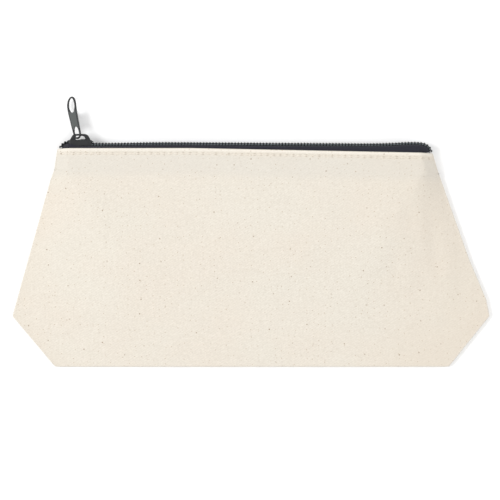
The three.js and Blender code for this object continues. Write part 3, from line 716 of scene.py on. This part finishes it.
def stitches(path, up, pitch, radius, lift, dip, gap=0.3):
    """One short, humped, twisted thread per stitch, sinking into the cloth at both ends."""
    path = np.asarray(path, float)
    steps = np.linalg.norm(np.diff(path, axis=0), axis=1)
    distance = np.concatenate([[0], np.cumsum(steps)])
    up = np.asarray(up, float)
    parts = []
    for number in range(int(distance[-1] / pitch)):
        t = np.linspace(0, 1, 11)
        at = (number + gap / 2 + t * (1 - gap)) * pitch
        centre = np.stack([np.interp(at, distance, path[:, axis]) for axis in range(3)], axis=1)
        hump = lift * np.sin(math.pi * t) ** 0.5 - dip * np.abs(2 * t - 1) ** 5
        centre = centre + hump[:, None] * up
        side = np.cross(up, centre[-1] - centre[0])
        parts.append(tube(centre, radius, 9, side, twist_plies=3, twist_length=0.55))
    return gather(parts)


def stitch_piece(name, path, up, node, lift, dip):
    vertices, faces = stitches(path, up, STITCH, THREAD_RADIUS, lift, dip)
    finished_object(name, vertices, faces, COTTON, node)


def topstitches():
    x = np.linspace(STITCH_START, STITCH_END, 700)
    y = hem_at(x) - STITCH_INSET
    front = np.stack([x, y, front_z(x, y) + 0.02], axis=1)
    back = np.stack([x, y, np.full_like(x, 0.30)], axis=1)
    stitch_piece("front_topstitches", front, (0, 0, 1), "front_topstitch_thread", 0.12, 0.30)
    stitch_piece("back_topstitches", back, (0, 0, -1), "back_topstitch_thread", 0.05, 0.25)


def hidden_seam(name, path, node):
    stitch_piece(name, path, (0, 0, 1), node, HIDDEN_SEAM_HUMP, HIDDEN_SEAM_HUMP)


def seams():
    """The hidden seams, between the plies that are folded in."""
    for name, at, inwards, foot in (("left", left_at, 1, BASE_LEFT[0]),
                                    ("right", right_at, -1, BASE_RIGHT[0])):
        widest = BASE_Y + WIDEST_ABOVE_BASE
        line = [[at(y) + 1.5 * inwards, y, SEAM_Z] for y in (HEM_RIGHT[1] - 1, HEM_KINK_Y, widest)]
        line.append([foot - 2.5 * inwards, BASE_SEAM_Y + 0.6, SEAM_Z])
        hidden_seam(f"{name}_side_seam_stitches", resampled(line, 1), f"{name}_side_seam_thread")
        corner = [[foot, BASE_Y + 1.2, SEAM_Z], [foot, BASE_SEAM_Y - 1, SEAM_Z]]
        hidden_seam(f"{name}_corner_seam_stitches", corner, f"{name}_corner_seam_thread")
    base = [[BASE_LEFT[0] + 1.5, BASE_SEAM_Y, SEAM_Z], [BASE_RIGHT[0] - 1.5, BASE_SEAM_Y, SEAM_Z]]
    hidden_seam("base_seam_stitches", base, "base_seam_thread")


# ------------------------------------------------------------------ zip chain

def chain_path():
    """Centre line of the closed chain in X and Y: up from one corner, along, and down to the other."""
    left = HEM_LEFT + np.array([[1.7, -0.2], [2.6, 1.25], [3.9, 2.3], [5.6, 3.0], [7.6, 2.8],
                                [10.0, COIL_Y - HEM_LEFT[1] + 0.1]])
    crest = np.array([[x, COIL_Y + rise] for x, rise in (
        (-80.0, -0.15), (-66.0, -0.15), (-50.0, 0.15), (-20.0, 0.08), (10.0, -0.12), (40.0, -0.25),
        (60.0, -0.35), (72.0, -0.1), (79.0, 0.3))])
    angle = np.linspace(math.pi / 2, 0, 9)
    middle = HEM_RIGHT + np.array([-6.6, 0.2])
    right = middle + np.column_stack([5.4 * np.cos(angle), 4.4 * np.sin(angle)])
    knots = np.concatenate([left, crest, right])
    return resampled(curve_through(knots), 0.1)


def curve_through(knots, steps=30):
    """Catmull-Rom curve through the knots, with tangents scaled to the spacing."""
    gaps = np.linalg.norm(np.diff(knots, axis=0), axis=1)
    slopes = np.zeros_like(knots)
    slopes[0] = (knots[1] - knots[0]) / gaps[0]
    slopes[-1] = (knots[-1] - knots[-2]) / gaps[-1]
    before = (knots[1:-1] - knots[:-2]) / gaps[:-1, None]
    after = (knots[2:] - knots[1:-1]) / gaps[1:, None]
    weight = (gaps[:-1] / (gaps[:-1] + gaps[1:]))[:, None]
    slopes[1:-1] = before * (1 - weight) + after * weight
    points = []
    for i, gap in enumerate(gaps):
        for t in np.linspace(0, 1, steps, endpoint=False):
            points.append(
                (2 * t**3 - 3 * t**2 + 1) * knots[i] + (t**3 - 2 * t**2 + t) * gap * slopes[i]
                + (3 * t**2 - 2 * t**3) * knots[i + 1] + (t**3 - t**2) * gap * slopes[i + 1])
    points.append(knots[-1])
    return np.array(points)


CHAIN = chain_path()
CHAIN_STEPS = np.linalg.norm(np.diff(CHAIN, axis=0), axis=1)
CHAIN_AT = np.concatenate([[0], np.cumsum(CHAIN_STEPS)])
CHAIN_TANGENT = np.gradient(CHAIN, CHAIN_AT, axis=0)
CHAIN_TANGENT /= np.linalg.norm(CHAIN_TANGENT, axis=1)[:, None]


def on_chain(distance, height, reach, side):
    """Points at a height above the chain's centre line and a reach from its middle."""
    x = np.interp(distance, CHAIN_AT, CHAIN[:, 0])
    y = np.interp(distance, CHAIN_AT, CHAIN[:, 1])
    tx = np.interp(distance, CHAIN_AT, CHAIN_TANGENT[:, 0])
    ty = np.interp(distance, CHAIN_AT, CHAIN_TANGENT[:, 1])
    left_end = smooth(6.0, 0.0, distance)
    right_end = smooth(CHAIN_AT[-1] - 9.0, CHAIN_AT[-1], distance)
    squeeze = 1 - END_SQUEEZE * left_end - END_SQUEEZE * right_end
    middle = ZIP_Z - END_SINK * left_end - END_SINK * right_end
    return np.stack([x - ty * height, y + tx * height, middle + side * reach * squeeze], axis=-1)


def parted(distance):
    """1 where the slider and the open end hold the two halves apart, 0 where they mesh."""
    x = np.interp(distance, CHAIN_AT, CHAIN[:, 0])
    return smooth(MESHED_AT, PARTED_AT, x)


def coil(side, half, crest):
    """One half of the coil: a flattened helix whose heads mesh with the other half's."""
    turns = (CHAIN_AT[-1] - 0.8) / COIL_PITCH
    angle = np.linspace(0, 2 * math.pi * turns, int(turns * 18))
    distance = 0.4 + angle / (2 * math.pi) * COIL_PITCH
    phase = 0 if side > 0 else math.pi
    swing, rise = np.cos(angle + phase), np.sin(angle + phase)
    apart = parted(distance)
    head = -COIL_OVERLAP + COIL_PARTING * apart
    heel = COIL_REACH - WIRE_RADIUS
    squared = np.sign(swing) * np.abs(swing) ** 0.75
    reach = (head + heel) / 2 + squared * (heel - head) / 2
    height = (COIL_HEIGHT / 2 - WIRE_RADIUS + 0.05) * np.sign(rise) * np.abs(rise) ** 0.8
    path = on_chain(distance, height + crest, reach, side)
    vertices, faces = tube(path, WIRE_RADIUS, 8, (1, 0, 0))
    finished_object(f"{half}_coil_helix", vertices, faces, NYLON, f"{half}_coil")


def coil_cord(side, half, crest):
    distance = np.arange(1.0, CHAIN_AT[-1] - 1.0, 0.22)
    apart = parted(distance)
    middle = (COIL_REACH - WIRE_RADIUS + COIL_PARTING * apart - COIL_OVERLAP) / 2
    path = on_chain(distance, -0.05 + crest, middle, side)
    vertices, faces = tube(path, CORD_RADIUS, 10, (0, 0, 1), twist_plies=2, twist_length=1.3)
    finished_object(f"{half}_coil_cord_twisted", vertices, faces, CORD,
                    f"{half}_coil_cord")


def binding(side, half, crest):
    """The stitches that bind the coil to its tape: one over each turn, along the flank."""
    distance = np.arange(BARE_COIL, CHAIN_AT[-1] - 0.9, 0.2)
    path = on_chain(distance, -0.28 + crest, COIL_REACH + 0.02, side)
    vertices, faces = stitches(path, (0, 0, side), COIL_PITCH, BINDING_RADIUS, 0.18, 0.30,
                               gap=BINDING_GAP)
    finished_object(f"{half}_coil_stitching_rows", vertices, faces, BINDING,
                    f"{half}_coil_stitching")


def tape(side, half, crest):
    """Woven tape: under the coil, round the edge and down inside the hem."""
    node = f"{half}_zip_tape"
    low, high = box_mm(node)
    distance = np.linspace(0.6, CHAIN_AT[-1] - 0.3, 620)
    shelf = -COIL_HEIGHT / 2 - 0.22
    bottom_y = TAPE_LOW[1]
    reach_out = TAPE_HIGH[2] - ZIP_Z - 0.1
    profile = [(shelf, 0.95), (shelf, 1.7), (shelf, 2.5), (shelf - 0.05, 3.2)]
    bend = 0.85
    for step in range(1, 6):
        angle = math.pi / 2 * step / 5
        profile.append((shelf - 0.05 - bend * (1 - math.cos(angle)),
                        reach_out - bend + bend * math.sin(angle)))
    rows = [on_chain(distance, height + crest, reach, side) for height, reach in profile]
    edge = rows[-1]
    inner_x = np.clip(edge[:, 0], low[0] + 0.3, high[0] - 4.4)
    for share in (0.12, 0.25, 0.5, 0.75, 1.0):
        row = edge.copy()
        settle = smooth(0, 0.3, share)
        row[:, 0] = edge[:, 0] + (inner_x - edge[:, 0]) * settle
        row[:, 1] = edge[:, 1] + (bottom_y - edge[:, 1]) * share
        rows.append(row)
    vertices = np.concatenate(rows)
    faces = grid_faces(len(rows), len(distance))
    if side < 0:
        faces = [polygon[::-1] for polygon in faces]
    piece = finished_object(f"{node}_woven", vertices, faces, TAPE, node)
    thicken(piece, TAPE_THICKNESS)


def zip_chain():
    for side, half in ((1, "front"), (-1, "back")):
        for part in (tape, coil, coil_cord, binding):
            part(side, half, CHAIN_CREST[half])


# ------------------------------------------------------------------ slider and puller

CASTING_ROUNDING = 6       # smoothing passes that round a casting's edges
SLIDER_VOXEL = 0.085
TAB_VOXEL = 0.07
SLIDER_SWELL = 0.02


def cast_piece(name, node, body, voxel, swell, turn=Matrix.Identity(4), shape=None):
    """A die-cast piece: the CAD solid remeshed finely, with its edges rounded as a casting's are.

    turn takes the piece's own axes, in mm, to the frame; shape works in the piece's own axes.
    """
    source = nodes[node].data.copy()
    source.transform(turn.inverted() @ Matrix.Scale(1 / MM, 4))
    piece = bpy.data.objects.new(name, source)
    bpy.context.scene.collection.objects.link(piece)
    if shape:
        shape(piece.data, -1)
    remesh = piece.modifiers.new("fused", "REMESH")
    remesh.mode = "VOXEL"
    remesh.voxel_size = voxel
    soft = piece.modifiers.new("rounded", "SMOOTH")
    soft.iterations = CASTING_ROUNDING
    soft.factor = 0.5
    plump = piece.modifiers.new("kept_to_size", "DISPLACE")
    plump.strength = swell
    plump.mid_level = 0.0
    apply_modifiers(piece)
    if shape:
        shape(piece.data, 1)
    piece.data.transform(Matrix.Scale(MM, 4) @ turn)
    piece.data.polygons.foreach_set("use_smooth", [True] * len(piece.data.polygons))
    piece.data.materials.clear()
    piece.data.materials.append(ENAMEL)
    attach(piece, body)
    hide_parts(node)


PULLER_LEAN = math.radians(12.4)
PULLER_DIP = math.radians(-5.5)
PULLER_TWIST = math.radians(-45)
PULLER_LENGTH = 21.4
CURVE_FROM = 12.0
CURVE = -1.3
WEB_HALF_THICKNESS = 0.2
TAB_SWELL = 0.09           # makes up for what the rounding takes off the tab
RECESS = (4.7, 13.9)       # where the tab is recessed between its rims, above the pivot


def tab_curve(mesh, direction):
    """Curves the tab's upper part back (1) or straightens it (-1)."""
    places = np.array([v.co for v in mesh.vertices])
    share = np.maximum(places[:, 1] - CURVE_FROM, 0) / (PULLER_LENGTH - CURVE_FROM)
    if direction > 0:
        low, high = RECESS
        in_recess = (places[:, 1] > low) & (places[:, 1] < high)
        flat = np.abs(np.abs(places[:, 2]) - WEB_HALF_THICKNESS - TAB_SWELL) < 0.06
        # marks the recessed web that the enamel paints lighter, as painted light
        layer = mesh.attributes.new("recess", "FLOAT", "POINT")
        layer.data.foreach_set("value", (in_recess & flat).astype(np.float32))
    places[:, 2] += direction * CURVE * share * share
    mesh.vertices.foreach_set("co", places.ravel())


def slider_and_puller():
    cast_piece("slider_casting", "slider_body", "slider", SLIDER_VOXEL, SLIDER_SWELL)
    pivot = next(joint for joint in frame["joints"] if joint["name"] == "puller_swing")["pos_m"]
    turn = (Matrix.Translation(Vector(pivot) / MM) @ Matrix.Rotation(PULLER_LEAN, 4, "Z")
            @ Matrix.Rotation(PULLER_DIP, 4, "X") @ Matrix.Rotation(PULLER_TWIST, 4, "Y"))
    cast_piece("pull_tab", "puller", "puller", TAB_VOXEL, TAB_SWELL, turn, tab_curve)


# ------------------------------------------------------------------ assembly

front_canvas()
back_canvas()
topstitches()
seams()
zip_chain()
slider_and_puller()


# ------------------------------------------------------------------ floor, light and camera

VIEW_WIDTH = 252.5
VIEW_CENTRE = (-0.5, 3.8)
LENS = 210.0
SENSOR = 36.0


FLOOR_HALF = 4.0           # metres
FLOOR_Z = -0.0002


def floor():
    rim = [(-1, -1), (1, -1), (1, 1), (-1, 1)]
    mesh = bpy.data.meshes.new("floor")
    mesh.from_pydata([(x * FLOOR_HALF, y * FLOOR_HALF, FLOOR_Z) for x, y in rim], [], [(0, 1, 2, 3)])
    look = Look("white_floor")
    tone = look.mix(look.noise(per_mm(90, 90, 90), 2.0), grey(0.89), grey(0.90))
    mesh.materials.append(look.finish(Base_Color=tone, Roughness=0.9, Specular_IOR_Level=0.1))
    ground = bpy.data.objects.new("floor", mesh)
    bpy.context.scene.collection.objects.link(ground)


def area_light(name, place, size, watts):
    lamp = bpy.data.lights.new(name, "AREA")
    lamp.shape = "SQUARE"
    lamp.size = size
    lamp.energy = watts
    light = bpy.data.objects.new(name, lamp)
    light.location = place
    light.rotation_euler = (-Vector(place)).to_track_quat("-Z", "Y").to_euler()
    bpy.context.scene.collection.objects.link(light)


def lighting():
    area_light("key_from_left", (-1.5, 0.20, 1.6), 0.8, 25.0)
    area_light("fill_from_right", (1.5, 0.10, 1.8), 1.6, 16.0)
    world = bpy.data.worlds.new("soft_studio")
    world.use_nodes = True
    world.node_tree.nodes["Background"].inputs["Color"].default_value = (1.0, 1.0, 1.0, 1)
    world.node_tree.nodes["Background"].inputs["Strength"].default_value = 0.88
    bpy.context.scene.world = world


def camera():
    lens = bpy.data.cameras.new("overhead")
    lens.lens = LENS
    lens.sensor_width = SENSOR
    lens.clip_start = 0.01
    eye = bpy.data.objects.new("overhead", lens)
    eye.location = (VIEW_CENTRE[0] * MM, VIEW_CENTRE[1] * MM,
                    (VIEW_WIDTH * LENS / SENSOR + ZIP_Z) * MM)
    bpy.context.scene.collection.objects.link(eye)
    bpy.context.scene.camera = eye


floor()
lighting()
camera()
bpy.context.scene.view_settings.view_transform = "Standard"
